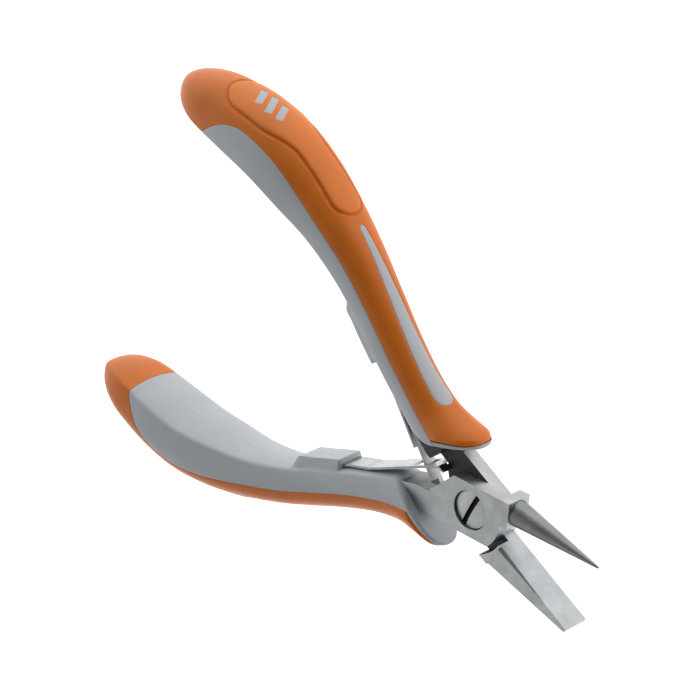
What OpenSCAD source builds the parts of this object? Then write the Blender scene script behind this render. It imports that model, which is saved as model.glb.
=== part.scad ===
// Round-on-flat jewellery pliers: two forged levers in a lap joint, a slotted
// pivot screw, two crossing leaf springs and two-shot moulded handles.
//
// Frame: the pivot axis is Z, the back face of the head lies at z = 0, and +X runs
// along the middle of the open jaws. Each lever is drawn in its own closed position
// with its handle on +Y and its jaw on -Y; the round-jaw lever is then turned over.

/* [Head and joint] */
// Thickness of the head and the jaws
head_t = 6.5; // [5:0.5:9]
// Width of the head across both flat sides
head_w = 12.1; // [10:0.1:15]
// Radius of the round front edge of each half plate
plate_r = 8.1; // [7:0.1:9]
// Radius cleared for the other plate on the jaw side
jaw_recess_r = 9.5; // [9.2:0.1:10.5]
// Radius cleared for the other plate on the handle side
neck_recess_r = 13.8; // [12.5:0.1:15]
// Gap between the two half plates
lap_gap = 0.06; // [0.02:0.01:0.2]
// Angle that each lever stands open from the middle
open_half = 14; // [8:0.5:20]

/* [Jaws] */
// Length of the jaws from the pivot axis to the tips
jaw_len = 31.8; // [26:0.2:44]
// Distance from the pivot axis to the front of the jaw shoulder
shoulder_x = 10; // [9.8:0.1:12]
// Radius of the round jaw at its root
cone_root_r = 2.85; // [2:0.05:3.2]
// Radius of the round jaw at its tip
cone_tip_r = 0.25; // [0.2:0.05:1]
// Height of the flat jaw at its tip
flat_tip_h = 0.9; // [0.6:0.1:2]
// Width of the bevel at the root of the flat jaw's gripping face
grip_bevel = 0.7; // [0.3:0.1:2]
// Gap left between the jaws when they close
jaw_gap = 0.1; // [0.06:0.01:0.3]

/* [Pivot screw] */
// Radius of the screw shaft
shaft_r = 2.5; // [1.8:0.1:3]
// Running clearance of the shaft in the front plate
shaft_clear = 0.05; // [0.02:0.01:0.1]
// Radius of the screw head
screw_head_r = 4.1; // [3.5:0.1:4.6]
// Clearance round the screw head in its counterbore
head_clear = 0.25; // [0.1:0.05:0.4]
// Thickness of the screw head at its rim
screw_head_t = 1.2; // [0.8:0.1:1.6]
// Height of the crown of the screw head above its rim
screw_crown = 0.45; // [0.2:0.05:0.8]
// Depth of the counterbore below the plate's face
counterbore = 1.8; // [1.2:0.1:2.2]
// Width of the driver slot
slot_w = 1.1; // [0.8:0.1:1.5]
// Depth of the driver slot
slot_depth = 1; // [0.6:0.1:1.2]
// Direction of the driver slot from +X
slot_turn = 81.5; // [0:1:180]

/* [Neck and tang] */
// Distance of each neck's inner edge from the closed middle line
neck_gap = 0.6; // [0.5:0.05:1]
// Width of the tang inside the handle
tang_w = 4.6; // [3:0.1:5]
// Thickness of the tang inside the handle
tang_t = 3; // [2:0.1:4]
// Share of the handle that the tang reaches into
tang_reach = 0.72; // [0.4:0.01:0.8]
// Clearance of the moulded core round the steel
tang_clear = 0.05; // [0.02:0.01:0.1]

/* [Leaf springs] */
// Thickness of the spring strip
leaf_t = 0.55; // [0.4:0.05:0.6]
// Width of the spring strip
leaf_w = 5.2; // [4:0.1:5.6]
// Width of the upper spring's tongue where it crosses the lower spring
tongue_w = 3; // [2:0.1:3.2]
// Side clearance of the tongue in the lower spring's window
window_clear = 0.2; // [0.1:0.05:0.3]
// Clearance between a spring tip and the neck that it presses on
leaf_clear = 0.12; // [0.05:0.01:0.2]

/* [Handles] */
// Length of a handle along the tool, from its lip to its tail
grip_len = 105.5; // [85:0.5:130]
// Distance from the pivot axis to the outer lip of the handle
grip_start = 5.5; // [4:0.5:8]
// Greatest distance of the handle's middle line from the tool's axis
grip_bow = 22; // [20:0.2:27]
// Depth of the palm swell, inner face to back
palm_depth = 13.8; // [11:0.2:16]
// Width of the palm swell across the sides
palm_w = 17.2; // [14:0.2:20]
// Thickness of the soft shell over the core
shell_t = 1.8; // [1.2:0.1:2.2]
// Distance from the front lip back to the edge of the shell
shell_back = 0.9; // [0.5:0.1:2]
// Width of the spring boss on the inner face
boss_w = 8; // [7:0.5:9]

/* [Palm pad and badge] */
// Height of the palm pad above the shell
pad_rise = 0.25; // [0.1:0.05:0.5]
// Depth of the palm pad's seat in the shell
pad_depth = 1; // [0.6:0.1:1.2]
// Width of the groove round the palm pad
pad_groove = 0.45; // [0.2:0.05:0.6]

/* [Hidden] */
$fn = 64;
mid = head_t / 2;
half_w = head_w / 2;
far = 200;
steel = [0.66, 0.67, 0.68];
spring_steel = [0.78, 0.78, 0.77];
grey = [0.60, 0.62, 0.65];
orange = [0.86, 0.42, 0.13];

// Corners of the lap joint, in the lever's closed frame.
chord_x = -11.1;
chord_run = half_w - 0.05;
lap_top = mid - lap_gap / 2;

// Handle shape: [share of length, middle line, depth, width, crease], where the
// last four are shares of grip_bow, palm_depth, palm_w / 2 and the local width.
handle_rows = [
    [-0.04, 0.21, 1.18, 0.74, 0.55], [0.03, 0.240, 1.09, 0.73, 0.55],
    [0.08, 0.250, 0.94, 0.68, 0.60], [0.13, 0.283, 0.81, 0.62, 0.66],
    [0.19, 0.358, 0.74, 0.585, 0.76], [0.27, 0.485, 0.745, 0.59, 0.82],
    [0.36, 0.655, 0.765, 0.62, 0.83], [0.45, 0.814, 0.783, 0.69, 0.86],
    [0.55, 0.927, 0.85, 0.81, 0.88], [0.64, 0.972, 0.95, 0.93, 0.92],
    [0.73, 0.970, 0.975, 1, 0.93], [0.82, 0.890, 0.955, 0.98, 0.93],
    [0.90, 0.780, 0.862, 0.89, 0.92], [0.95, 0.707, 0.74, 0.78, 0.89],
    [1, 0.632, 0.62, 0.66, 0.86]
];
// The tail closes in a round end from this share of the length.
tail_from = 0.90;

function grip_x(t) = -grip_start - t * grip_len;
function grip_t(x) = (-grip_start - x) / grip_len;

// Smooth curve through one column of the table: cubic between rows.
function row_after(t, i = 1) = i >= len(handle_rows) - 1 || handle_rows[i][0] >= t ? i : row_after(t, i + 1);
function slope(i, c) =
    let (a = handle_rows[max(i - 1, 0)], b = handle_rows[min(i + 1, len(handle_rows) - 1)])
    (b[c] - a[c]) / (b[0] - a[0]);
function shape(t, c) =
    let (
        i = row_after(t),
        a = handle_rows[i - 1],
        b = handle_rows[i],
        h = b[0] - a[0],
        u = min((t - a[0]) / h, 1),
        u2 = u * u,
        u3 = u2 * u
    )
    (2 * u3 - 3 * u2 + 1) * a[c] + (u3 - 2 * u2 + u) * h * slope(i - 1, c)
    + (3 * u2 - 2 * u3) * b[c] + (u3 - u2) * h * slope(i, c);

function bow(t) = grip_bow * shape(t, 1);
// Round closing of the tail: 1 along the handle, 0 at its very end.
function tail(t) = t < tail_from ? 1 : pow(max(1 - pow((t - tail_from) / (1 - tail_from), 2.8), 0), 0.5);
function depth(t, skin = 0) = (palm_depth * shape(t, 2) - 2 * skin) * tail(t);
function side(t, skin = 0) = (palm_w / 2 * shape(t, 3) - skin) * tail(t);
function inner_y(t) = bow(t) - depth(t) / 2;
function back_y(t) = bow(t) + depth(t) / 2;

// One cross-section of the handle, as [y, z] round its outline. `skin` draws it in.
crown = 0.9;
function section(t, skin) =
    let (
        d = depth(t, skin),
        w = side(t, skin),
        y0 = bow(t) - d / 2,
        zc = w * shape(t, 4),
        lift = crown * d / palm_depth,
        yc = y0 + lift,
        ym = y0 + 0.46 * d,
        back = [for (a = [0:12:84]) [ym + (y0 + d - ym) * pow(cos(a), 0.86), w * pow(sin(a), 0.86)]],
        flank = [for (u = [0:0.25:1]) [ym + (yc - ym) * u, w - (w - zc) * pow(u, 1.8)]],
        inner = [for (u = [0.75:-0.25:0.25]) [y0 + lift * u * u, zc * u]],
        half = concat(back, flank, inner)
    )
    concat(half, [[y0, 0]], [for (i = [len(half) - 1:-1:1]) [half[i][0], -half[i][1]]]);

// Stations along the handle, closer together round the tail.
stations = concat(
    [for (t = [-0.04:0.02:tail_from - 0.001]) t],
    [for (a = [0:15:75]) tail_from + (1 - tail_from) * sin(a)],
    [0.998]
);

// Solid handle, drawn in by `skin` all round and centred on the lever's mid plane.
module handle_solid(skin = 0) {
    rings = [for (t = stations) section(t, skin)];
    n = len(rings[0]);
    last = len(rings) - 1;
    points = [for (k = [0:last]) for (p = rings[k])
        [grip_x(stations[k]) + skin * max(stations[k] - tail_from, 0) / (1 - tail_from), p[0], p[1] + mid]];
    faces = concat(
        [[for (i = [n - 1:-1:0]) i]],
        [for (k = [0:last - 1]) for (i = [0:n - 1])
            [k * n + i, k * n + (i + 1) % n, (k + 1) * n + (i + 1) % n, (k + 1) * n + i]],
        [[for (i = [0:n - 1]) last * n + i]]
    );
    polyhedron(points, faces, convexity = 8);
}

// The handle's slanted front face cuts everything ahead of it away.
lip_point = [-19.3, 0.5];
lip_turn = 44.5;
module ahead_of_lip(back_off = 0) {
    translate([lip_point[0], lip_point[1], mid]) rotate(lip_turn)
        translate([-far / 2, -far - back_off, -far / 2]) cube([far, far, far]);
}

// Side view of the parting line between the core and the shell.
function ease(u) = let (v = min(max(u, 0), 1)) v * v * (3 - 2 * v);
function parting(t) =
    bow(t) + depth(t) * (t < 0.13 ? 0.04 + 0.2 * t :
        0.06 + 0.14 * ease((t - 0.5) / 0.22) - 0.75 * pow(max((t - cap_from) / cap_run, 0), 5));
// The parting line turns down across the inner face over this stretch.
cap_from = 0.72;
cap_run = 0.155;
module shell_zone(grow = 0) {
    cap_end = cap_from + cap_run;
    // These stations fall between the handle's own, so that no two edges meet.
    ts = [for (t = [-0.023:0.03:cap_from]) t];
    cap = [for (u = [0.03:0.1:1]) cap_from + 0.99 * cap_run * pow(u, 0.6)];
    translate([0, 0, -far / 2]) linear_extrude(far) polygon(concat(
        [[20, parting(0) - grow]],
        [for (t = concat(ts, cap)) [grip_x(t), parting(t) - grow]],
        [[grip_x(cap_end) + grow, inner_y(cap_end) - 4], [grip_x(1.1), inner_y(cap_end) - 30]],
        [[grip_x(1.1), 60], [20, 60]]
    ));
}

// Steel lever in the closed frame: plate in the back half of the head.
neck_points = [
    [chord_x, neck_gap], [-15, neck_gap], [-19, neck_gap + 1],
    [-24, bow(grip_t(-24)) - tang_w / 2]
];
tang_ts = [for (t = [0.26:0.06:tang_reach]) t];
module neck_outline() {
    polygon(concat(
        [[0, half_w], [0, 0], [chord_x, 0]],
        neck_points,
        [for (t = tang_ts) [grip_x(t), bow(t) - tang_w / 2]],
        [for (i = [len(tang_ts) - 1:-1:0]) [grip_x(tang_ts[i]), bow(tang_ts[i]) + tang_w / 2]],
        [[-24, bow(grip_t(-24)) + tang_w / 2], [-15, half_w + 0.3], [-10, half_w]]
    ));
}
module plate_outline() {
    polygon(concat(
        [[chord_x, neck_gap], [chord_x, 0], [chord_x + chord_run, -half_w], [shoulder_x, -half_w]],
        [[shoulder_x, -jaw_gap / 2]],
        [for (a = [0:6:48]) plate_r * [cos(a), sin(a)]],
        [[plate_r * cos(48) - 0.1, half_w], [-10, half_w], [-12, neck_gap]]
    ));
}
full_t_until = -22;
module lever_blank() {
    difference() {
        union() {
            linear_extrude(lap_top) plate_outline();
            // The shoulder that carries the jaw keeps the full thickness.
            translate([0, -half_w, 0]) cube([shoulder_x, half_w - jaw_gap / 2, head_t]);
            // Full-thickness neck, then the thinner tang.
            intersection() {
                linear_extrude(head_t) neck_outline();
                translate([full_t_until, -far / 2, 0]) cube([-full_t_until, far, head_t]);
            }
            translate([0, 0, mid - tang_t / 2]) intersection() {
                linear_extrude(tang_t) neck_outline();
                translate([full_t_until - far, -far / 2, 0]) cube([far + 0.5, far, tang_t]);
            }
        }
        lap_recess();
    }
}
// Room for the other lever's plate, in the front half of this one.
module lap_recess() {
    translate([0, 0, lap_top]) {
        intersection() {
            cylinder(r = jaw_recess_r, h = head_t);
            translate([0, -far / 2, 0]) cube([far, far, head_t]);
        }
        intersection() {
            cylinder(r = neck_recess_r, h = head_t);
            translate([-far, -far / 2, 0]) cube([far, far, head_t]);
        }
    }
}
module flip() {
    translate([0, 0, head_t]) rotate([180, 0, 0]) children();
}
module on_flat_lever() {
    rotate(-open_half) children();
}
module on_round_lever() {
    rotate(open_half) flip() children();
}

// Jaws in the closed frame.
module flat_jaw() {
    root_h = half_w - 0.1;
    difference() {
        linear_extrude(head_t) polygon([
            [shoulder_x - 1.8, -jaw_gap / 2], [jaw_len, -jaw_gap / 2],
            [jaw_len, -jaw_gap / 2 - flat_tip_h], [shoulder_x - 1.8, -root_h]
        ]);
        // Bevel along the front edge of the gripping face, fading out towards the tip.
        translate([shoulder_x, -jaw_gap / 2, head_t])
            rotate([0, -atan(grip_bevel / (0.7 * (jaw_len - shoulder_x))), 0]) rotate([45, 0, 0])
                translate([-far / 4, -grip_bevel * 0.7, -grip_bevel * 0.7])
                    cube([far, grip_bevel * 1.4, grip_bevel * 1.4]);
        translate([0, 0, lap_top]) cylinder(r = jaw_recess_r, h = head_t);
    }
}
module round_jaw() {
    root_y = -jaw_gap / 2 - cone_root_r;
    tip_y = -jaw_gap / 2 - cone_tip_r;
    reach = jaw_len - cone_tip_r - shoulder_x;
    lean = atan((tip_y - root_y) / reach);
    translate([shoulder_x, root_y, mid]) rotate(lean) rotate([0, 90, 0]) {
        translate([0, 0, -0.5]) cylinder(r = cone_root_r, h = 0.5);
        cylinder(r1 = cone_root_r, r2 = cone_tip_r, h = reach / cos(lean));
        translate([0, 0, reach / cos(lean)]) sphere(r = cone_tip_r);
    }
}

module flat_jaw_lever() {
    color(steel) on_flat_lever() difference() {
        union() {
            lever_blank();
            flat_jaw();
        }
        translate([0, 0, -1]) cylinder(r = shaft_r, h = head_t + 2);
    }
}
module round_jaw_lever() {
    color(steel) on_round_lever() difference() {
        union() {
            lever_blank();
            round_jaw();
        }
        translate([0, 0, -1]) cylinder(r = shaft_r + shaft_clear, h = head_t + 2);
        translate([0, 0, -1]) cylinder(r = screw_head_r + head_clear, h = counterbore + 1);
    }
}

// Screw: domed slotted head sunk in the front plate, shaft through to the back face.
module pivot_screw() {
    under_head = head_t - counterbore + shaft_clear;
    crown_r = (screw_head_r * screw_head_r + screw_crown * screw_crown) / (2 * screw_crown);
    color(steel) difference() {
        union() {
            cylinder(r = shaft_r, h = under_head + 0.1);
            translate([0, 0, under_head]) cylinder(r = screw_head_r, h = screw_head_t);
            intersection() {
                translate([0, 0, under_head + screw_head_t + screw_crown - crown_r])
                    sphere(r = crown_r, $fn = 128);
                translate([0, 0, under_head + screw_head_t / 2]) cylinder(r = screw_head_r, h = 3);
            }
        }
        rotate(slot_turn)
            translate([-far / 2, -slot_w / 2, under_head + screw_head_t + screw_crown - slot_depth])
                cube([far, slot_w, 3]);
    }
}

// Leaf spring in its own lever's closed frame: a flat root in the handle's boss, a
// bend, a long rise across the middle and a tip that lies along the other neck.
leaf_root = [-38.6, 6.75];
leaf_mouth = [-34.9, 5.3];
leaf_bend = [-28.7, 3.3];
tip_y = -neck_gap + leaf_t / 2 + leaf_clear;
function to_other(p) = [
    p[0] * cos(2 * open_half) + p[1] * sin(2 * open_half),
    p[0] * sin(2 * open_half) - p[1] * cos(2 * open_half)
];
function bezier(a, b, c, d, u) =
    pow(1 - u, 3) * a + 3 * u * pow(1 - u, 2) * b + 3 * u * u * (1 - u) * c + pow(u, 3) * d;
leaf_end = to_other([-9.9, -tip_y]);
leaf_touch = to_other([-11.4, -tip_y]);
leaf_path = concat(
    [leaf_root, leaf_mouth, leaf_bend + [-0.9, 0.29]],
    [for (u = [0:0.0625:1]) bezier(leaf_bend, leaf_bend + [5.8, -2.6], leaf_touch + [-6.2, 2.6], leaf_touch, u)],
    [leaf_end]
);
function unit(v) = v / norm(v);
function leaf_normal(i) =
    let (
        a = leaf_path[max(i - 1, 0)],
        b = leaf_path[min(i + 1, len(leaf_path) - 1)],
        d = unit(b - a)
    ) [-d[1], d[0]];
module leaf_strip(width, grow = 0) {
    h = leaf_t / 2 + grow;
    n = len(leaf_path);
    translate([0, 0, mid - width / 2]) linear_extrude(width) polygon(concat(
        [for (i = [0:n - 1]) leaf_path[i] + h * leaf_normal(i)],
        [for (i = [n - 1:-1:0]) leaf_path[i] - h * leaf_normal(i)]
    ));
}
cross_x = -14.8;
tip_from = leaf_touch[0] - 1.2;
// Only the half of the tip that clears the other lever's plate goes on past its edge.
module tip_relief(high) {
    translate([tip_from, -20, high ? mid - 0.15 : -1]) cube([20, 40, mid + 1.15]);
}
module lower_leaf_spring() {
    window_w = tongue_w + 2 * window_clear;
    color(spring_steel) on_round_lever() difference() {
        leaf_strip(leaf_w);
        translate([cross_x - 2.6, -20, mid - window_w / 2]) cube([4.6, 40, window_w]);
        tip_relief(true);
    }
}
module upper_leaf_spring() {
    color(spring_steel) on_flat_lever() difference() {
        leaf_strip(leaf_w);
        for (z = [mid - leaf_w / 2 - 1, mid + tongue_w / 2])
            translate([cross_x - 3.4, -20, z]) cube([30, 40, leaf_w / 2 - tongue_w / 2 + 1]);
        tip_relief(true);
    }
}

// Grey core: the inner side of the handle, the body under the shell, the boss that
// holds the spring, and the ribs that show through the shell as the long drop.
module boss() {
    hull() for (z = [mid - boss_w / 2 + 1.5, mid + boss_w / 2 - 1.5])
        translate([0, 0, z]) for (p = [[-46.4, 10.2], [-37.2, 6.9]])
            translate([p[0], p[1], 0]) sphere(r = 2.1, $fn = 24);
    hull() for (p = [[-48.6, 12.6, 1.6], [-46.4, 10.6, 2], [-36, 8.6, 2]])
        translate([p[0], p[1], mid - boss_w / 2 + 0.6]) cylinder(r = p[2], h = boss_w - 1.2, $fn = 24);
}
module drop_prism(grow = 0) {
    rotate([-90, 0, 0]) translate([0, -mid, 0]) linear_extrude(60) hull() {
        translate([-56.9, 0]) circle(r = 0.8 + grow, $fn = 24);
        translate([-20.9, 0]) circle(r = 2.45 + grow, $fn = 32);
    }
}
// Everything on the back of the handle's middle line.
module back_side() {
    translate([0, 0, -far / 2]) linear_extrude(far) polygon(concat(
        [for (t = [0.007:0.05:0.99]) [grip_x(t), bow(t)]],
        [[grip_x(1.1), bow(1)], [grip_x(1.1), far], [0, far]]
    ));
}
module steel_room() {
    translate([0, 0, mid - head_t / 2 - tang_clear]) intersection() {
        linear_extrude(head_t + 2 * tang_clear) offset(delta = tang_clear) neck_outline();
        translate([full_t_until - tang_clear, -far / 2, 0]) cube([far, far, head_t + 1]);
    }
    translate([0, 0, mid - tang_t / 2 - tang_clear])
        linear_extrude(tang_t + 2 * tang_clear) offset(delta = tang_clear) neck_outline();
}
module core_solid() {
    // An empty resize keeps the moulding as one mesh.
    resize([0, 0, 0]) difference() {
        union() {
            difference() {
                handle_solid();
                shell_zone();
            }
            handle_solid(skin = shell_t);
            boss();
            intersection() {
                handle_solid();
                drop_prism();
                back_side();
            }
        }
        ahead_of_lip();
        steel_room();
        leaf_strip(leaf_w + 0.2, grow = 0.05);
    }
}
// Orange shell: the back and the tail of the handle, as a skin over the core.
module pad_prism(grow = 0) {
    rotate([-90, 0, 0]) translate([0, -mid, 0]) linear_extrude(60) {
        hull() {
            translate([-93.9, 0]) circle(r = 5.85 + grow, $fn = 48);
            translate([-86.5, 0]) circle(r = 6.3 + grow, $fn = 48);
            translate([-77, 0]) circle(r = 3.9 + grow, $fn = 32);
        }
        hull() for (x = [-77, -64.2]) translate([x, 0]) circle(r = 3.9 + grow, $fn = 32);
    }
}
module shell_solid() {
    resize([0, 0, 0]) difference() {
        intersection() {
            handle_solid();
            shell_zone();
        }
        handle_solid(skin = shell_t);
        ahead_of_lip(shell_back);
        steel_room();
        boss();
        intersection() {
            drop_prism();
            back_side();
        }
        difference() {
            intersection() {
                pad_prism(pad_groove);
                back_side();
            }
            handle_solid(skin = pad_depth);
        }
    }
}
module pad_solid() {
    resize([0, 0, 0]) difference() {
        intersection() {
            handle_solid(skin = -pad_rise);
            pad_prism();
            back_side();
            shell_zone();
        }
        handle_solid(skin = pad_depth);
        badge_prism();
    }
}
// Badge: three plain slanted bars set in the pad.
bar_pitch = 3.1;
bar_w = 1.6;
bar_len = 6.4;
module badge_prism() {
    rotate([-90, 0, 0]) translate([-90, -mid, 0]) linear_extrude(60)
        for (i = [-1:1]) translate([bar_pitch * i, 0]) rotate(30) square([bar_w, bar_len - abs(i)], center = true);
}
module badge_solid() {
    resize([0, 0, 0]) difference() {
        intersection() {
            handle_solid(skin = -pad_rise);
            badge_prism();
            back_side();
            shell_zone();
        }
        handle_solid(skin = pad_depth);
    }
}

module lower_core() { color(grey) on_round_lever() core_solid(); }
module upper_core() { color(grey) on_flat_lever() core_solid(); }
module lower_shell() { color(orange) on_round_lever() shell_solid(); }
module upper_shell() { color(orange) on_flat_lever() shell_solid(); }
module lower_palm_pad() { color(orange) on_round_lever() pad_solid(); }
module upper_palm_pad() { color(orange) on_flat_lever() pad_solid(); }
module lower_badge() { color(grey) on_round_lever() badge_solid(); }
module upper_badge() { color(grey) on_flat_lever() badge_solid(); }

round_jaw_lever();
flat_jaw_lever();
pivot_screw();
lower_leaf_spring();
upper_leaf_spring();
lower_core();
upper_core();
lower_shell();
upper_shell();
lower_palm_pad();
upper_palm_pad();
lower_badge();
upper_badge();
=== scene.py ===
import math

import bmesh
import bpy
import numpy as np
from mathutils import Matrix, Vector


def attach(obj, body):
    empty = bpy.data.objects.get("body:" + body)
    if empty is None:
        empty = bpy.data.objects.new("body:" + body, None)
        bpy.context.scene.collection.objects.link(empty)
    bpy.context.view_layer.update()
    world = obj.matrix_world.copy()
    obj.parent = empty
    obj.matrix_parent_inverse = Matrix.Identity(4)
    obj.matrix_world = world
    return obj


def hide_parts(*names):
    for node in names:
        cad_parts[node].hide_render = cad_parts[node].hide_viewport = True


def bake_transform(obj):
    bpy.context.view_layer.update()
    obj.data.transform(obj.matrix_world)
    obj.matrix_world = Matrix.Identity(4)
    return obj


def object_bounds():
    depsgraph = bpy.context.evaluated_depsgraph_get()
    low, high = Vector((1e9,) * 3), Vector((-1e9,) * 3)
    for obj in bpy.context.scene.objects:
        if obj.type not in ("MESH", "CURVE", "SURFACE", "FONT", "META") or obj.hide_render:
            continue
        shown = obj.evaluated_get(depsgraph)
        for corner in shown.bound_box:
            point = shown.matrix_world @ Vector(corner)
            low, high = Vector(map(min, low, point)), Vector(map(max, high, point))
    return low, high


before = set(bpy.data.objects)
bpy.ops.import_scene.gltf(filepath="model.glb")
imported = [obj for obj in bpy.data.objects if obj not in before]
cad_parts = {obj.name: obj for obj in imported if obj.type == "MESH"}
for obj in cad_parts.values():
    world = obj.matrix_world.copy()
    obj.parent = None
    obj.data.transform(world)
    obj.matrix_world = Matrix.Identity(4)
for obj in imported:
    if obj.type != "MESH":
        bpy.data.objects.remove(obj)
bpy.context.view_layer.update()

MM = 0.001

# Sizes below are in millimetres, in a lever's closed frame: handle on +Y, pivot on the
# Z axis, back face of the head at z = 0. The two levers stand open by OPEN_HALF each.
MID = 3.25
OPEN_HALF = math.radians(14)
FLAT_SIDE = "flat_jaw_side"
ROUND_SIDE = "round_jaw_side"


# ---------------------------------------------------------------- placing
def on_flat_lever(points):
    """Closed-frame points, moved to the flat-jaw lever as it stands at rest."""
    p = np.asarray(points, float).reshape(-1, 3)
    c, s = math.cos(OPEN_HALF), math.sin(OPEN_HALF)
    return np.column_stack([c * p[:, 0] + s * p[:, 1], -s * p[:, 0] + c * p[:, 1], p[:, 2]])


def on_round_lever(points):
    """Closed-frame points, turned over and moved to the round-jaw lever at rest."""
    p = np.asarray(points, float).reshape(-1, 3)
    x, y, z = p[:, 0], -p[:, 1], 2 * MID - p[:, 2]
    c, s = math.cos(OPEN_HALF), math.sin(OPEN_HALF)
    return np.column_stack([c * x - s * y, s * x + c * y, z])


PLACE = {"upper": on_flat_lever, "lower": on_round_lever}
BODY = {"upper": FLAT_SIDE, "lower": ROUND_SIDE}


# ---------------------------------------------------------------- materials
def principled(mat):
    return mat.node_tree.nodes["Principled BSDF"]


def material(name, base, roughness, metallic=0.0, coat=0.0, specular=0.5):
    """A Principled material with the constant values on its own sockets."""
    mat = bpy.data.materials.new(name)
    mat.use_nodes = True
    shader = principled(mat)
    shader.inputs["Base Color"].default_value = (*base, 1)
    shader.inputs["Roughness"].default_value = roughness
    shader.inputs["Metallic"].default_value = metallic
    shader.inputs["Coat Weight"].default_value = coat
    shader.inputs["Specular IOR Level"].default_value = specular
    return mat


def node(mat, kind, **inputs):
    made = mat.node_tree.nodes.new(kind)
    for key, value in inputs.items():
        made.inputs[key].default_value = value
    return made


def link(mat, source, output, target, socket):
    mat.node_tree.links.new(source.outputs[output], target.inputs[socket])


def noise(mat, scale, detail, stretch=(1, 1, 1)):
    """Noise in the object's own metres, stretched along an axis."""
    place = node(mat, "ShaderNodeTexCoord")
    shift = node(mat, "ShaderNodeMapping", Scale=stretch)
    link(mat, place, "Object", shift, "Vector")
    made = node(mat, "ShaderNodeTexNoise", Scale=scale, Detail=detail, Roughness=0.6)
    link(mat, shift, "Vector", made, "Vector")
    return made


def vary(mat, source, low, high, socket):
    """Lets a noise drive a socket of the shader between two colours."""
    made = node(mat, "ShaderNodeValToRGB")
    ends = made.color_ramp.elements
    ends[0].position, ends[1].position = 0.3, 0.7
    ends[0].color, ends[1].color = (*low, 1), (*high, 1)
    link(mat, source, "Fac", made, "Fac")
    link(mat, made, "Color", principled(mat), socket)


def bump(mat, sources):
    """A chain of bumps: (noise, strength, distance in metres)."""
    last = None
    for source, strength, distance in sources:
        made = node(mat, "ShaderNodeBump", Strength=strength, Distance=distance)
        link(mat, source, "Fac", made, "Height")
        if last:
            link(mat, last, "Normal", made, "Normal")
        last = made
    link(mat, last, "Normal", principled(mat), "Normal")


def grey_value(value):
    return (value, value, value)


def times(tone, factor):
    return tuple(min(1, c * factor) for c in tone)


def soft_orange(name, tone, grain):
    """Satin soft-touch elastomer: a fine moulded grain and faint colour drift."""
    mat = material(name, tone, 0.42, coat=0.04, specular=0.35)
    principled(mat).inputs["Subsurface Weight"].default_value = 0.06
    principled(mat).inputs["Subsurface Radius"].default_value = (0.0012, 0.0006, 0.0003)
    vary(mat, noise(mat, 90, 3), times(tone, 0.93), times(tone, 1.06), "Base Color")
    vary(mat, noise(mat, 240, 4), grey_value(0.36), grey_value(0.48), "Roughness")
    bump(mat, [(noise(mat, grain, 3), 0.10, 0.00006), (noise(mat, 320, 2), 0.05, 0.0002)])
    return mat


def hard_grey(name, tone):
    """Matt hard plastic with a spark-eroded mould texture."""
    mat = material(name, tone, 0.5)
    vary(mat, noise(mat, 70, 3), times(tone, 0.95), times(tone, 1.04), "Base Color")
    vary(mat, noise(mat, 300, 3), grey_value(0.42), grey_value(0.56), "Roughness")
    bump(mat, [(noise(mat, 5200, 2), 0.12, 0.00005), (noise(mat, 240, 3), 0.06, 0.0003)])
    return mat


def satin_steel(name, tone, roughness, scratch=(1, 1, 1), relief=0.12):
    """Ground or tumbled steel: fine scratches, cloudy gloss and small pits."""
    mat = material(name, tone, roughness, metallic=1.0)
    vary(mat, noise(mat, 260, 5), times(tone, 0.82), times(tone, 1.08), "Base Color")
    lines = noise(mat, 2600, 4, stretch=scratch)
    vary(mat, lines, grey_value(roughness * 0.8), grey_value(roughness * 1.25), "Roughness")
    bump(mat, [(lines, relief, 0.00004), (noise(mat, 900, 6), relief * 0.8, 0.00008)])
    return mat


def turned_steel(name, tone, roughness):
    """Steel turned on a lathe: fine rings round the pivot axis."""
    mat = satin_steel(name, tone, roughness)
    rings = node(mat, "ShaderNodeTexWave", Scale=900.0, Distortion=1.2, Detail=2.0)
    rings.wave_type = "RINGS"
    rings.rings_direction = "Z"
    link(mat, node(mat, "ShaderNodeTexCoord"), "Object", rings, "Vector")
    cut = node(mat, "ShaderNodeBump", Strength=0.12, Distance=0.00004)
    link(mat, rings, "Fac", cut, "Height")
    link(mat, principled(mat).inputs["Normal"].links[0].from_node, "Normal", cut, "Normal")
    link(mat, cut, "Normal", principled(mat), "Normal")
    return mat


ORANGE = soft_orange("orange_soft_touch", (0.69, 0.170, 0.010), 3600)
# The pad's orange is the shell's orange made lighter, which is painted light, with the pad's own finer
# grain.
LIT_PAD_ORANGE = soft_orange("orange_pad_grain_painted_light", (0.76, 0.20, 0.02), 5200)
GREY = hard_grey("grey_plastic_matt", (0.48, 0.51, 0.54))
BADGE = hard_grey("pale_grey_inlay", (0.50, 0.53, 0.56))
STEEL = satin_steel("ground_satin_steel", (0.50, 0.52, 0.53), 0.38, scratch=(0.25, 1, 1), relief=0.3)
# Near-black steel for the recess walls, floors and the sunk neck face: painted shade.
RECESS_SHADE_STEEL = satin_steel("painted_shade_recess_steel", (0.09, 0.09, 0.095), 0.55, relief=0.5)
CONE = satin_steel("dark_turned_steel", (0.27, 0.28, 0.285), 0.34, scratch=(3.5, 0.5, 0.5), relief=0.35)
# Dark steel for the round lever's neck sides: painted shade.
NECK = satin_steel("painted_shade_neck_steel", (0.24, 0.245, 0.25), 0.46, relief=0.5)
# Near-black steel for the screw's slot walls: painted shade.
SLOT = satin_steel("painted_shade_slot_steel", (0.05, 0.05, 0.05), 0.6)
SCREW = turned_steel("turned_screw_steel", (0.55, 0.57, 0.57), 0.36)
SPRING = satin_steel("rolled_spring_steel", (0.42, 0.43, 0.43), 0.26, scratch=(0.12, 1, 1), relief=0.1)


# ---------------------------------------------------------------- meshes
MOULDED_SHARP, GROUND_SHARP = math.radians(38), math.radians(32)


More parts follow.
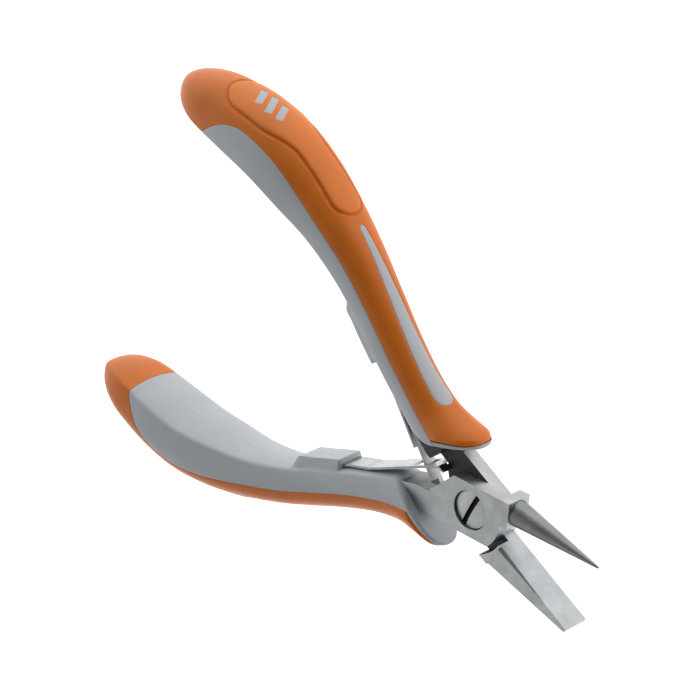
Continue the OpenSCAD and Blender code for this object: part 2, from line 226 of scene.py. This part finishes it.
def piece(name, points, faces, mat, body):
    """A new object in metres from millimetre points, smooth but for its sharp edges."""
    mesh = bpy.data.meshes.new(name)
    mesh.from_pydata([tuple(p) for p in np.asarray(points) * MM], [], [tuple(f) for f in faces])
    mesh.validate()
    mesh.update()
    mesh.materials.append(mat)
    obj = bpy.data.objects.new(name, mesh)
    bpy.context.scene.collection.objects.link(obj)
    mesh.polygons.foreach_set("use_smooth", [True] * len(mesh.polygons))
    mesh.set_sharp_from_angle(angle=MOULDED_SHARP)
    if body:
        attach(obj, body)
    return obj


def outward(obj):
    work = bmesh.new()
    work.from_mesh(obj.data)
    bmesh.ops.recalc_face_normals(work, faces=work.faces)
    work.to_mesh(obj.data)
    work.free()


CUT_SNAP = 0.012


class Patch:
    """A surface that can be cut along the level lines of a field."""

    def __init__(self, points, normals, faces):
        self.p = np.asarray(points, float)
        self.n = np.asarray(normals, float)
        self.f = [tuple(f) for f in faces]

    def cut(self, field, levels):
        for level in levels:
            self._cut(field, level)

    def _cut(self, field, level):
        value = field(self.p) - level
        value[np.abs(value) < CUT_SNAP] = 0
        new_p, new_n, made, faces = [], [], {}, []
        first = len(self.p)

        def between(i, j):
            key = (min(i, j), max(i, j))
            if key not in made:
                share = value[i] / (value[i] - value[j])
                made[key] = first + len(new_p)
                new_p.append(self.p[i] + (self.p[j] - self.p[i]) * share)
                new_n.append(self.n[i] + (self.n[j] - self.n[i]) * share)
            return made[key]

        for face in self.f:
            v = [value[i] for i in face]
            if min(v) >= 0 or max(v) <= 0:
                faces.append(face)
                continue
            above, below = [], []
            for k, i in enumerate(face):
                j = face[(k + 1) % len(face)]
                if value[i] >= 0:
                    above.append(i)
                if value[i] <= 0:
                    below.append(i)
                if value[i] * value[j] < 0:
                    m = between(i, j)
                    above.append(m)
                    below.append(m)
            faces += [tuple(side) for side in (above, below) if len(side) > 2]
        self.f = faces
        if new_p:
            self.p = np.vstack([self.p, new_p])
            self.n = np.vstack([self.n, new_n])

    def centres(self):
        return np.array([self.p[list(f)].mean(0) for f in self.f])

    def part(self, keep):
        """The faces that `keep` is true for, as a patch of its own."""
        chosen = [f for f, k in zip(self.f, keep) if k]
        used = sorted({i for f in chosen for i in f})
        order = {i: k for k, i in enumerate(used)}
        return Patch(self.p[used], self.n[used], [tuple(order[i] for i in f) for f in chosen])

    def rims(self):
        """Directed edges that belong to one face only."""
        seen = {}
        for f in self.f:
            for k, i in enumerate(f):
                j = f[(k + 1) % len(f)]
                seen[(i, j)] = True
        return [(i, j) for i, j in seen if (j, i) not in seen]

    def raised(self, height):
        unit = self.n / np.linalg.norm(self.n, axis=1)[:, None]
        return Patch(self.p + unit * np.asarray(height)[:, None], self.n, self.f)

    def closed(self, thickness):
        """Points and faces of a closed skin of that thickness, below the patch."""
        unit = self.n / np.linalg.norm(self.n, axis=1)[:, None]
        count = len(self.p)
        points = np.vstack([self.p, self.p - unit * np.asarray(thickness).reshape(-1, 1)])
        faces = list(self.f) + [tuple(i + count for i in reversed(f)) for f in self.f]
        faces += [(j, i, i + count, j + count) for i, j in self.rims()]
        return points, faces


def smooth(u):
    u = np.clip(u, 0, 1)
    return u * u * (3 - 2 * u)


def rounded(distance, radius):
    """How far a rounded edge of that radius has dropped at a distance from the edge."""
    u = np.clip(1 - np.asarray(distance) / radius, 0, 1)
    return radius * (1 - np.sqrt(np.maximum(1 - u * u, 0)))


# ---------------------------------------------------------------- handle shape
GRIP_START, GRIP_LEN, GRIP_BOW = 5.5, 105.5, 22.0
PALM_DEPTH, PALM_W, CROWN = 13.8, 17.2, 0.9
TAIL_FROM, TAIL_POWER = 0.90, 2.8
WIDEST_AT, BACK_POWER, FLANK_POWER = 0.46, 0.86, 1.8
# Share of length, then middle line, depth, width and crease, as in the CAD source.
HANDLE = np.array([
    [-0.04, 0.21, 1.18, 0.74, 0.55], [0.03, 0.240, 1.09, 0.73, 0.55],
    [0.08, 0.250, 0.94, 0.68, 0.60], [0.13, 0.283, 0.81, 0.62, 0.66],
    [0.19, 0.358, 0.74, 0.585, 0.76], [0.27, 0.485, 0.745, 0.59, 0.82],
    [0.36, 0.655, 0.765, 0.62, 0.83], [0.45, 0.814, 0.783, 0.69, 0.86],
    [0.55, 0.927, 0.85, 0.81, 0.88], [0.64, 0.972, 0.95, 0.93, 0.92],
    [0.73, 0.970, 0.975, 1, 0.93], [0.82, 0.890, 0.955, 0.98, 0.93],
    [0.90, 0.780, 0.862, 0.89, 0.92], [0.95, 0.707, 0.74, 0.78, 0.89],
    [1, 0.632, 0.62, 0.66, 0.86],
])
# The parting line's height over the middle line, as a share of the depth: it climbs
# behind the lip, is level over the fingers, rises under the palm and dives at the end cap.
LIP_SHARE, LIP_CLIMB, LIP_TO = 0.04, 0.2, 0.13
FINGER_SHARE, PALM_RISE, PALM_FROM, PALM_RUN = 0.06, 0.14, 0.5, 0.22
CAP_DIVE, CAP_FROM, CAP_RUN = 0.75, 0.72, 0.155
LIP = (-19.3, 0.5)
LIP_TURN = math.radians(44.5)


def shape(t, column):
    """Smooth curve through one column of HANDLE."""
    t = np.asarray(t, float)
    at, value = HANDLE[:, 0], HANDLE[:, column]
    last = len(at) - 1
    before = np.maximum(np.arange(last + 1) - 1, 0)
    after = np.minimum(np.arange(last + 1) + 1, last)
    slope = (value[after] - value[before]) / (at[after] - at[before])
    i = np.clip(np.searchsorted(at, t), 1, last)
    run = at[i] - at[i - 1]
    u = np.minimum((t - at[i - 1]) / run, 1)
    return (
        (2 * u**3 - 3 * u**2 + 1) * value[i - 1] + (u**3 - 2 * u**2 + u) * run * slope[i - 1]
        + (3 * u**2 - 2 * u**3) * value[i] + (u**3 - u**2) * run * slope[i]
    )


def share_at(x):
    return (-GRIP_START - np.asarray(x)) / GRIP_LEN


def bow(t):
    return GRIP_BOW * shape(t, 1)


def tail(t):
    past = np.maximum(np.asarray(t, float) - TAIL_FROM, 0) / (1 - TAIL_FROM)
    return np.sqrt(np.maximum(1 - past**TAIL_POWER, 0))


def depth(t):
    return PALM_DEPTH * shape(t, 2) * tail(t)


def half_width(t):
    return PALM_W / 2 * shape(t, 3) * tail(t)


BACK_STEPS, FLANK_STEPS, INNER_STEPS = 30, 14, 16


def half_section(t):
    """Half a cross-section, from the middle of the back to the middle of the inner face."""
    d, w, low = float(depth(t)), float(half_width(t)), float(bow(t) - depth(t) / 2)
    crease_z = w * float(shape(t, 4))
    lift = CROWN * d / PALM_DEPTH
    crease_y, widest_y = low + lift, low + WIDEST_AT * d
    a = np.linspace(0, math.pi / 2, BACK_STEPS, endpoint=False)
    round_y, round_z = np.cos(a) ** BACK_POWER, np.sin(a) ** BACK_POWER
    back = [widest_y + (low + d - widest_y) * round_y, w * round_z]
    u = np.linspace(0, 1, FLANK_STEPS + 1)
    flank = [widest_y + (crease_y - widest_y) * u, w - (w - crease_z) * u**FLANK_POWER]
    u = np.linspace(1, 0, INNER_STEPS + 1)[1:]
    inner = [low + lift * u * u, crease_z * u]
    return np.hstack([back, flank, inner]).T


def ring(t):
    half = half_section(t)
    return np.vstack([half, half[1:-1][::-1] * [1, -1]])


def parting(t):
    """Height of the line between core and shell, seen from the side."""
    dive = CAP_DIVE * np.maximum((t - CAP_FROM) / CAP_RUN, 0) ** 5
    level = FINGER_SHARE + PALM_RISE * smooth((t - PALM_FROM) / PALM_RUN) - dive
    return bow(t) + depth(t) * np.where(t < LIP_TO, LIP_SHARE + LIP_CLIMB * t, level)


# Fields, each the distance in millimetres from a line on the handle.
def behind_lip(p):
    return -(p[:, 0] - LIP[0]) * math.sin(LIP_TURN) + (p[:, 1] - LIP[1]) * math.cos(LIP_TURN)


def over_seam(p):
    """Positive on the shell's side of the parting line."""
    t = share_at(p[:, 0])
    gap, step = p[:, 1] - parting(t), 0.004
    rate = (parting(t + step) - parting(t - step)) / (2 * step * GRIP_LEN)
    return gap / np.sqrt(1 + rate**2)


def on_back(p):
    return p[:, 1] > bow(share_at(p[:, 0]))


# Each end of the drop: its place along, and its radius.
DROP_TAIL, DROP_HEAD = (-56.9, 0.8), (-20.9, 2.45)
FAR = 9


def in_drop(p):
    """Positive inside the long drop on the back."""
    run = DROP_HEAD[0] - DROP_TAIL[0]
    along = np.clip((p[:, 0] - DROP_TAIL[0]) / run, 0, 1)
    radius = DROP_TAIL[1] + (DROP_HEAD[1] - DROP_TAIL[1]) * along
    away = np.hypot(p[:, 0] - (DROP_TAIL[0] + run * along), p[:, 2] - MID)
    return np.where(on_back(p), radius - away, -FAR)


PAD = {"half": 3.9, "swell": 2.3, "swell_from": -76, "swell_run": 11,
       "tail": -93.6, "tail_run": 6.5, "head": -64.2, "head_run": 3.9}


def pad_shape(x, z):
    """Falls from 1 in the middle of the pad to 0 on its outline."""
    half = PAD["half"] + PAD["swell"] * smooth((PAD["swell_from"] - x) / PAD["swell_run"])
    tail_end = np.maximum(PAD["tail"] - x, 0) / PAD["tail_run"]
    head_end = np.maximum(x - PAD["head"], 0) / PAD["head_run"]
    return 1 - tail_end**2 - head_end**2 - (z / half) ** 2


def in_pad(p):
    """Positive inside the palm pad's outline."""
    x, z, step = p[:, 0], p[:, 2] - MID, 0.05
    value = pad_shape(x, z)
    slope_x = (pad_shape(x + step, z) - pad_shape(x - step, z)) / (2 * step)
    slope_z = (pad_shape(x, z + step) - pad_shape(x, z - step)) / (2 * step)
    slope = np.maximum(np.hypot(slope_x, slope_z), 0.08)
    return np.where(on_back(p), np.clip(value / slope, -FAR, FAR), -FAR)


BADGE_X, BAR_PITCH, BAR_W, BAR_LEN, BAR_TURN = -90, 3.1, 1.6, 6.4, math.radians(30)


def in_badge(p):
    """Positive inside one of the three slanted bars."""
    best = np.full(len(p), -float(FAR))
    for i in (-1, 0, 1):
        x, z = p[:, 0] - BADGE_X - BAR_PITCH * i, p[:, 2] - MID
        along = abs(x * math.cos(BAR_TURN) - z * math.sin(BAR_TURN))
        across = abs(x * math.sin(BAR_TURN) + z * math.cos(BAR_TURN))
        best = np.maximum(best, np.minimum(BAR_W / 2 - along, (BAR_LEN - abs(i)) / 2 - across))
    return np.where(on_back(p), best, -FAR)


# ---------------------------------------------------------------- handle pieces
BOSS = {"head": -35.9, "head_run": 0.7, "tail": -50.4, "tail_run": 2.4, "half": 4.1, "side_run": 0.9}
# The boss's top is a straight line: its height at one place along, and its rise.
BOSS_TOP_X, BOSS_TOP_Y, BOSS_TOP_RISE = -37.2, 4.72, -0.365


def boss_drop(x, y, z):
    """New height of the inner face where the boss for the spring stands on it."""
    level = BOSS_TOP_Y + BOSS_TOP_RISE * (x - BOSS_TOP_X)
    tail_end = smooth((x - BOSS["tail"]) / BOSS["tail_run"])
    along = tail_end * smooth((BOSS["head"] - x) / BOSS["head_run"])
    across = smooth((BOSS["half"] - abs(z - MID)) / BOSS["side_run"])
    inner = y < bow(share_at(x)) - 0.3 * depth(share_at(x))
    return np.where(inner, y + np.minimum(level - y, 0) * along * across, y)


TABLE_ROWS, CAP_RINGS, LEAN_ROUNDS = 900, 26, 30
RING_GAP, BOSS_RING_GAP = 0.7, 0.4
LEAN_MIDDLE_Y, LEAN_FADE = 5.0, 28.0


def handle_patch():
    """The whole outer surface, as rings that lean with the lip at the front."""
    table_x = np.linspace(0.5, -(GRIP_START + GRIP_LEN) + 1e-6, TABLE_ROWS)
    table = np.array([ring(share_at(x)) for x in table_x])
    columns = table.shape[1]
    lean = 1 / math.tan(LIP_TURN)
    start = LIP[0] + (LEAN_MIDDLE_Y - LIP[1]) * lean
    end = -(GRIP_START + GRIP_LEN) + 0.03
    tail_x = -GRIP_START - TAIL_FROM * GRIP_LEN
    steps = [start + 1.2]
    while steps[-1] > tail_x:
        near_boss = BOSS["tail"] - 1 < steps[-1] < BOSS["head"] + 2
        steps.append(steps[-1] - (BOSS_RING_GAP if near_boss else RING_GAP))
    turns = np.linspace(0, math.pi / 2, CAP_RINGS)[1:-1]
    round_end = [tail_x + (end - tail_x) * math.sin(a) for a in turns]
    steps += [x for x in round_end if x < steps[-1] - 0.1]
    rings = []
    for base in steps:
        slant = lean * (1 - float(smooth((start - base) / LEAN_FADE)))
        x = np.full(columns, base)
        for _ in range(LEAN_ROUNDS):
            share = (table_x[0] - x) / (table_x[0] - table_x[-1])
            at = np.clip(share * (TABLE_ROWS - 1), 0, TABLE_ROWS - 1.001)
            low = at.astype(int)
            part = (at - low)[:, None]
            found = table[low, np.arange(columns)] * (1 - part) + table[low + 1, np.arange(columns)] * part
            x = base + slant * (found[:, 0] - LEAN_MIDDLE_Y)
        rings.append(np.column_stack([x, found[:, 0], found[:, 1] + MID]))
    grid = np.array(rings)
    # The crease between side and inner face is softened.
    half = BACK_STEPS + FLANK_STEPS
    for crease in (half, columns - half):
        for _ in range(3):
            near = np.arange(crease - 4, crease + 5) % columns
            beside = grid[:, (near - 1) % columns] + grid[:, (near + 1) % columns]
            grid[:, near] = 0.5 * grid[:, near] + 0.25 * beside
    grid[..., 1] = boss_drop(grid[..., 0], grid[..., 1], grid[..., 2])
    around = np.roll(grid, -1, 1) - np.roll(grid, 1, 1)
    along = np.gradient(grid, axis=0)
    normals = np.cross(along, around)
    if normals[len(grid) // 2, 0, 1] < 0:
        normals = -normals
    tip = np.array([[end, grid[-1, :, 1].mean(), MID]])
    count = len(grid)
    points = np.vstack([grid.reshape(-1, 3), tip])
    normals = np.vstack([normals.reshape(-1, 3), [[-1, 0, 0]]])
    faces = []
    for k in range(count - 1):
        for j in range(columns):
            n = (j + 1) % columns
            faces.append((k * columns + j, k * columns + n, (k + 1) * columns + n, (k + 1) * columns + j))
    last = (count - 1) * columns
    faces += [(last + j, last + (j + 1) % columns, count * columns) for j in range(columns)]
    return Patch(points, normals, faces)


GROOVE, GROOVE_DEPTH, PAD_RISE = 0.38, 0.34, 0.22
SEAM_R, RIDGE_RISE, BADGE_R, BADGE_SUNK = 0.22, 0.06, 0.06, 0.03
SHELL_ROLL, LIP_ROLL, LIP_ROLL_LOW = 0.8, 0.6, 1.6
SHELL_BACK, SHELL_BACK_OUTER, LIP_SWELL = 0.9, 0.3, 0.4


def behind_shell(p):
    """Distance behind the shell's front edge, which comes up to the lip on the outside."""
    back = SHELL_BACK + (SHELL_BACK_OUTER - SHELL_BACK) * smooth((p[:, 1] - 7) / 5)
    return behind_lip(p) - back


def with_front(patch):
    """The surface with its open front closed by a fan, so the lip has a face."""
    rims = patch.rims()
    front = np.array([math.sin(LIP_TURN), -math.cos(LIP_TURN), 0])
    centre = patch.p[[i for i, _ in rims]].mean(0)
    count = len(patch.p)
    faces = patch.f + [(j, i, count) for i, j in rims]
    return Patch(np.vstack([patch.p, [centre]]), np.vstack([patch.n, [front]]), faces)


def split_handle():
    """Cuts the surface into core, shell, pad and badge, with their edges rounded."""
    whole = handle_patch()
    whole.cut(behind_lip, [0, 0.1, 0.3, 0.6, 1.0, 1.5, 2.2])
    whole = with_front(whole.part(behind_lip(whole.centres()) > 0))
    whole.cut(behind_shell, [0, 0.08, 0.25, 0.5, 0.8, 1.1])
    whole.cut(over_seam, [-0.22, -0.08, 0, 0.08, 0.22])
    whole.cut(in_drop, [-0.2, -0.07, 0, 0.07, 0.2])
    whole.cut(in_pad, [-GROOVE - 0.2, -GROOVE - 0.07, -GROOVE, -GROOVE / 2, 0, 0.1, 0.25, 0.6])
    whole.cut(in_badge, [-0.06, 0, 0.06])
    middle = whole.centres()
    lip, seam, drop = behind_shell(middle), over_seam(middle), in_drop(middle)
    pad, badge = in_pad(middle), in_badge(middle)
    is_shell = (seam > 0) & (drop < 0) & (lip > 0)
    shell = whole.part(is_shell & (pad < 0))
    palm = whole.part(is_shell & (pad > 0) & (badge < 0))
    bars = whole.part(is_shell & (badge > 0))

    distance = np.minimum(over_seam(shell.p), -in_drop(shell.p))
    front = behind_shell(shell.p)
    sink = rounded(distance, SEAM_R) * 0.5 + rounded(front, SHELL_ROLL)
    # The soft moulding swells a little behind the lip.
    sink -= LIP_SWELL * smooth(front / 0.9) * (1 - smooth((front - 1.2) / 5)) * smooth(distance / 2)
    to_pad = -in_pad(shell.p)
    sink += GROOVE_DEPTH * smooth((GROOVE + 0.2 - to_pad) / 0.3)
    shell = shell.raised(-sink)

    inside = in_pad(palm.p)
    rise = PAD_RISE * smooth(inside / 0.6) - (GROOVE_DEPTH + 0.05) * (1 - smooth(inside / 0.22))
    rise -= rounded(-in_badge(palm.p), BADGE_R) * 0.5
    palm = palm.raised(rise)
    bars = bars.raised(PAD_RISE - BADGE_SUNK - rounded(in_badge(bars.p), BADGE_R) * 0.5)

    # The core runs on under the shell, below its own skin.
    core_open = whole.part(~is_shell)
    distance = np.where(in_drop(core_open.p) > -0.5, in_drop(core_open.p), -over_seam(core_open.p))
    # The lip rolls over a wider radius near the inner face.
    roll = LIP_ROLL + LIP_ROLL_LOW * (1 - smooth((core_open.p[:, 1] - 1) / 4))
    sink = rounded(distance, SEAM_R) * 0.5 + rounded(behind_lip(core_open.p), roll)
    # A faint parting ridge runs along the middle of the inner face.
    in_middle = abs(core_open.p[:, 2] - MID) < 0.05
    ridge = RIDGE_RISE * in_middle * ~on_back(core_open.p) * (behind_lip(core_open.p) > 1)
    core_open = core_open.raised(ridge - sink)
    return {"core": core_open, "shell": shell, "palm_pad": palm, "badge": bars}


# Material, slot name and thickness of the skin.
LOOKS = {
    "core": (GREY, "grey_plastic", 2.2),
    "shell": (ORANGE, "orange_soft", 1.5),
    "palm_pad": (LIT_PAD_ORANGE, "orange_pad", 0.9),
    "badge": (BADGE, "badge_grey", 0.6),
}
LIP_SKIN = 0.2


def make_handle(parts, side):
    for kind, patch in parts.items():
        mat, slot_name, thickness = LOOKS[kind]
        # The skin thins out at the flared lip, so its inside stays behind the lip's face.
        full = smooth((behind_lip(patch.p) - 0.3) / 4)
        points, faces = patch.closed(LIP_SKIN + (thickness - LIP_SKIN) * full)
        obj = piece(f"{side}_{kind}_shape", PLACE[side](points), faces, mat, BODY[side])
        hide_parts(f"{side}_{kind}")


# ---------------------------------------------------------------- steel
# The recesses are round the pivot, the shoulder and the neck are places along.
JAW_RECESS, NECK_RECESS, SHOULDER_X, NECK_FROM, SUNK_FROM = 9.5, 13.8, 10.0, -8.5, -9
LEVEL, UPRIGHT = 0.9, 0.3
SLOT_TURN = math.radians(81.5)
SLOT_FLOOR, SLOT_HALF, SLOT_REACH = 5.0, 0.62, 3.9
AS_GROUND, AS_RECESS_SHADE, AS_CONE, AS_SLOT_SHADE, AS_NECK_SHADE = range(5)


def gets_recess_shade(name, centre, normal):
    """True for the recess walls and floors, and for the sunk face of the neck: the faces painted near-black
    as shade.
    """
    x, y, z = centre / MM
    reach = math.hypot(x, y)
    on_wall = min(abs(reach - JAW_RECESS), abs(reach - NECK_RECESS)) < 0.3
    wall = abs(normal.z) < UPRIGHT and on_wall
    seat = abs(normal.z) > LEVEL and abs(z - MID) < 0.1
    sunk = name == "flat_jaw_lever" and normal.z > LEVEL and x < SUNK_FROM
    return wall or seat or sunk


def finish(name, centre, normal):
    """Material index of a steel face, one of the AS_ values."""
    x, y, z = centre / MM
    if name == "pivot_screw":
        along = normal.x * math.cos(SLOT_TURN) + normal.y * math.sin(SLOT_TURN)
        aside = abs(x * math.sin(SLOT_TURN) - y * math.cos(SLOT_TURN))
        # Faces in the slot take the near-black steel as painted shade.
        in_slot = z > SLOT_FLOOR and aside < SLOT_HALF and abs(along) < 0.5
        return AS_SLOT_SHADE if in_slot and math.hypot(x, y) < SLOT_REACH else AS_GROUND
    if gets_recess_shade(name, centre, normal):
        return AS_RECESS_SHADE
    if name == "round_jaw_lever":
        c, s = math.cos(OPEN_HALF), math.sin(OPEN_HALF)
        if c * x + s * y > SHOULDER_X + 0.05:
            return AS_CONE
        # The round lever's neck sides take the darker steel as painted shade.
        if x < NECK_FROM and abs(normal.z) < LEVEL:
            return AS_NECK_SHADE
    return AS_GROUND


def from_node(name, mat, body, width):
    """The CAD shape with its facets joined and its edges broken, as forged and ground steel has."""
    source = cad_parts[name]
    mesh = source.data.copy()
    work = bmesh.new()
    work.from_mesh(mesh)
    bmesh.ops.remove_doubles(work, verts=work.verts, dist=2e-6)
    bmesh.ops.dissolve_limit(work, angle_limit=math.radians(0.6), verts=work.verts, edges=work.edges)
    work.to_mesh(mesh)
    work.free()
    mesh.materials.clear()
    mesh.materials.append(mat)
    # Extra slots, in the order of the AS_ values: painted shade in the recesses, the cone's darker steel,
    # painted shade in the screw slot and on the round lever's neck.
    for extra in (RECESS_SHADE_STEEL, CONE, SLOT, NECK):
        mesh.materials.append(extra)
    mesh.polygons.foreach_set("material_index", [finish(name, f.center, f.normal) for f in mesh.polygons])
    mesh.polygons.foreach_set("use_smooth", [True] * len(mesh.polygons))
    mesh.set_sharp_from_angle(angle=GROUND_SHARP)
    obj = bpy.data.objects.new(name + "_shape", mesh)
    bpy.context.scene.collection.objects.link(obj)
    edge = obj.modifiers.new("edges", "BEVEL")
    edge.width = width * MM
    edge.segments = 2
    edge.limit_method = "ANGLE"
    edge.angle_limit = GROUND_SHARP
    edge.harden_normals = True
    edge.miter_outer = "MITER_ARC"
    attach(obj, body)
    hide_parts(name)


# ---------------------------------------------------------------- leaf springs
LEAF_T, LEAF_W, TONGUE_W, WINDOW_CLEAR, NECK_GAP, LEAF_CLEAR = 0.55, 5.2, 3.0, 0.2, 0.6, 0.12
# Places along: where the springs cross, the window's ends and where the tongue starts.
CROSS_X = -14.8
WINDOW_TAIL, WINDOW_HEAD, TONGUE_FROM = CROSS_X - 2.6, CROSS_X + 2.0, CROSS_X - 3.4
TIP_Y = -NECK_GAP + LEAF_T / 2 + LEAF_CLEAR
# Near the tips each spring keeps one half of its width, so both find room side by side.
TIP_RUN, TIP_Z = 1.2, -0.15
SOFT_BEND = (-36, -27)
BLEND_FROM, BLEND_TO = -25.5, -9.5
LEAF_EDGE = 0.09


def to_other(x, y):
    """A point of the other lever's closed frame, in this lever's."""
    a = 2 * OPEN_HALF
    return np.array([x * math.cos(a) + y * math.sin(a), x * math.sin(a) - y * math.cos(a)])


def leaf_line():
    """The spring's middle line in its own lever's closed frame."""
    bend, touch, end = np.array([-28.7, 3.3]), to_other(-11.4, -TIP_Y), to_other(-9.9, -TIP_Y)
    root = [np.array([-38.6, 6.75]), np.array([-34.9, 5.3]), bend + [-0.9, 0.29]]
    u = np.linspace(0, 1, 49)[:, None]
    pull_a, pull_b = bend + [5.8, -2.6], touch + [-6.2, 2.6]
    curve = (1 - u) ** 3 * bend + 3 * u * (1 - u) ** 2 * pull_a + 3 * u**2 * (1 - u) * pull_b + u**3 * touch
    return np.vstack([root, curve, [end]]), touch


def leaf_spring(side):
    line, touch = leaf_line()
    cuts = [TONGUE_FROM, WINDOW_TAIL, WINDOW_HEAD, touch[0] - TIP_RUN]
    xs = np.unique(np.concatenate([line[:, 0], cuts, np.linspace(line[0, 0], line[2, 0], 12)]))
    ys = np.interp(xs, line[:, 0], line[:, 1])
    soft = np.convolve(np.pad(ys, 2, mode="edge"), np.ones(5) / 5, mode="valid")
    at_bend = (xs[1:-1] > SOFT_BEND[0]) & (xs[1:-1] < SOFT_BEND[1])
    ys[1:-1] = np.where(at_bend, soft[1:-1], ys[1:-1])
    slope = np.gradient(ys, xs)
    normal = np.column_stack([-slope, np.ones_like(slope)]) / np.hypot(slope, 1)[:, None]
    window = TONGUE_W / 2 + WINDOW_CLEAR
    inner = window if side == "lower" else TONGUE_W / 2
    zs = np.array([-LEAF_W / 2, -inner, TIP_Z, inner, LEAF_W / 2])

    def solid(x, z):
        if x > touch[0] - TIP_RUN and z > TIP_Z:
            return False
        if side == "lower":
            return not (WINDOW_TAIL < x < WINDOW_HEAD and abs(z) < window)
        return not (x > TONGUE_FROM and abs(z) > inner)

    cells = {(i, j) for i in range(len(xs) - 1) for j in range(len(zs) - 1)
             if solid((xs[i] + xs[i + 1]) / 2, (zs[j] + zs[j + 1]) / 2)}
    index, points, faces = {}, [], []

    def corner(i, j, top):
        if (i, j, top) not in index:
            index[(i, j, top)] = len(points)
            offset = normal[i] * LEAF_T / 2 * (1 if top else -1)
            points.append((xs[i] + offset[0], ys[i] + offset[1], MID + zs[j]))
        return index[(i, j, top)]

    for i, j in sorted(cells):
        square = [(i, j), (i, j + 1), (i + 1, j + 1), (i + 1, j)]
        faces.append([corner(*c, True) for c in square])
        faces.append([corner(*c, False) for c in reversed(square)])
        sides = [((i, j), (i, j + 1), (i - 1, j)), ((i, j + 1), (i + 1, j + 1), (i, j + 1)),
                 ((i + 1, j + 1), (i + 1, j), (i + 1, j)), ((i + 1, j), (i, j), (i, j - 1))]
        for a, b, beyond in sides:
            if beyond not in cells:
                faces.append([corner(*b, True), corner(*a, True), corner(*a, False), corner(*b, False)])
    obj = piece(f"{side}_leaf_spring_shape", PLACE[side](points), faces, SPRING, None)
    outward(obj)
    edge = obj.modifiers.new("edges", "BEVEL")
    edge.width, edge.segments, edge.limit_method = LEAF_EDGE * MM, 2, "ANGLE"
    edge.angle_limit = math.radians(45)
    bpy.context.view_layer.objects.active = obj
    obj.select_set(True)
    bpy.ops.object.modifier_apply(modifier=edge.name)
    obj.select_set(False)
    ends = PLACE[side]([[x, np.interp(x, xs, ys), MID] for x in (BLEND_FROM, BLEND_TO)]) * MM
    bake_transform(obj)
    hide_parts(f"{side}_leaf_spring")


# ---------------------------------------------------------------- build
handle_parts = split_handle()
for side in ("lower", "upper"):
    make_handle(handle_parts, side)
    leaf_spring(side)
LEVER_EDGE, SCREW_EDGE = 0.16, 0.1
from_node("round_jaw_lever", STEEL, ROUND_SIDE, LEVER_EDGE)
from_node("flat_jaw_lever", STEEL, FLAT_SIDE, LEVER_EDGE)
from_node("pivot_screw", SCREW, FLAT_SIDE, SCREW_EDGE)

# ---------------------------------------------------------------- stage
AIM = Vector((-42.9, 9.6, 3.25)) * MM
AZIMUTH, ELEVATION, ROLL = (math.radians(a) for a in (52.295, 41.789, 112.566))
DISTANCE, LENS, SENSOR = 0.6701, 164.1, 36
KEY_POWER, KEY_SIZE = 14.5, 0.4
FLOOR_SIZE, FLOOR_GLOW = 6, 0.9


def studio():
    lens = bpy.data.cameras.new("camera")
    lens.lens = LENS
    lens.sensor_width = SENSOR
    lens.clip_end = 20
    camera = bpy.data.objects.new("camera", lens)
    bpy.context.scene.collection.objects.link(camera)
    back = Vector((
        math.cos(ELEVATION) * math.cos(AZIMUTH),
        math.cos(ELEVATION) * math.sin(AZIMUTH),
        math.sin(ELEVATION),
    ))
    level = Vector((0, 0, 1)).cross(back).normalized()
    rise = back.cross(level)
    up = rise * math.cos(ROLL) + level * math.sin(ROLL)
    right = up.cross(back)
    turn = Matrix((right, up, back)).transposed()
    camera.matrix_world = Matrix.Translation(AIM + back * DISTANCE) @ turn.to_4x4()
    bpy.context.scene.camera = camera
    return right, up, back


def area_light(name, place, power, size):
    lamp = bpy.data.lights.new(name, "AREA")
    lamp.energy, lamp.size, lamp.shape = power, size, "DISK"
    obj = bpy.data.objects.new(name, lamp)
    bpy.context.scene.collection.objects.link(obj)
    obj.location = AIM + place
    obj.rotation_euler = (-place).to_track_quat("-Z", "Y").to_euler()


def soft_dome(world, bright, dim):
    """A pale dome, brighter toward `bright`, with a wide dim patch toward `dim`."""
    world.use_nodes = True
    tree = world.node_tree
    shade = tree.nodes["Background"]
    place = tree.nodes.new("ShaderNodeTexCoord")
    levels = []
    # Direction, the facing it starts and ends at, and the brightness at those two.
    for direction, start, end, low, high in ((bright, -0.9, 0.9, 0.7, 1.9), (dim, 0.1, 0.85, 1.0, 0.08)):
        facing = tree.nodes.new("ShaderNodeVectorMath")
        facing.operation = "DOT_PRODUCT"
        facing.inputs[1].default_value = direction.normalized()
        tree.links.new(place.outputs["Generated"], facing.inputs[0])
        spread = tree.nodes.new("ShaderNodeMapRange")
        spread.interpolation_type = "SMOOTHSTEP"
        for socket, value in (("From Min", start), ("From Max", end), ("To Min", low), ("To Max", high)):
            spread.inputs[socket].default_value = value
        tree.links.new(facing.outputs["Value"], spread.inputs["Value"])
        levels.append(spread)
    both = tree.nodes.new("ShaderNodeMath")
    both.operation = "MULTIPLY"
    tree.links.new(levels[0].outputs["Result"], both.inputs[0])
    tree.links.new(levels[1].outputs["Result"], both.inputs[1])
    tree.links.new(both.outputs["Value"], shade.inputs["Color"])


right, up, back = studio()
bpy.context.scene.view_settings.view_transform = "Standard"
from_above = up * 0.8 + right * 0.45
area_light("key", from_above + back * 0.2, KEY_POWER, KEY_SIZE)

world = bpy.data.worlds.new("studio")
bpy.context.scene.world = world
soft_dome(world, from_above, back)

floor_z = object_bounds()[0][2]
bpy.ops.mesh.primitive_plane_add(size=FLOOR_SIZE, location=(0, 0, floor_z))
floor = bpy.context.object
floor.name = "floor"
paper = material("white_paper", (0.92, 0.92, 0.92), 0.8)
principled(paper).inputs["Emission Color"].default_value = (1, 1, 1, 1)
principled(paper).inputs["Emission Strength"].default_value = FLOOR_GLOW
vary(paper, noise(paper, 40, 3), grey_value(0.91), grey_value(0.93), "Base Color")
floor.data.materials.append(paper)
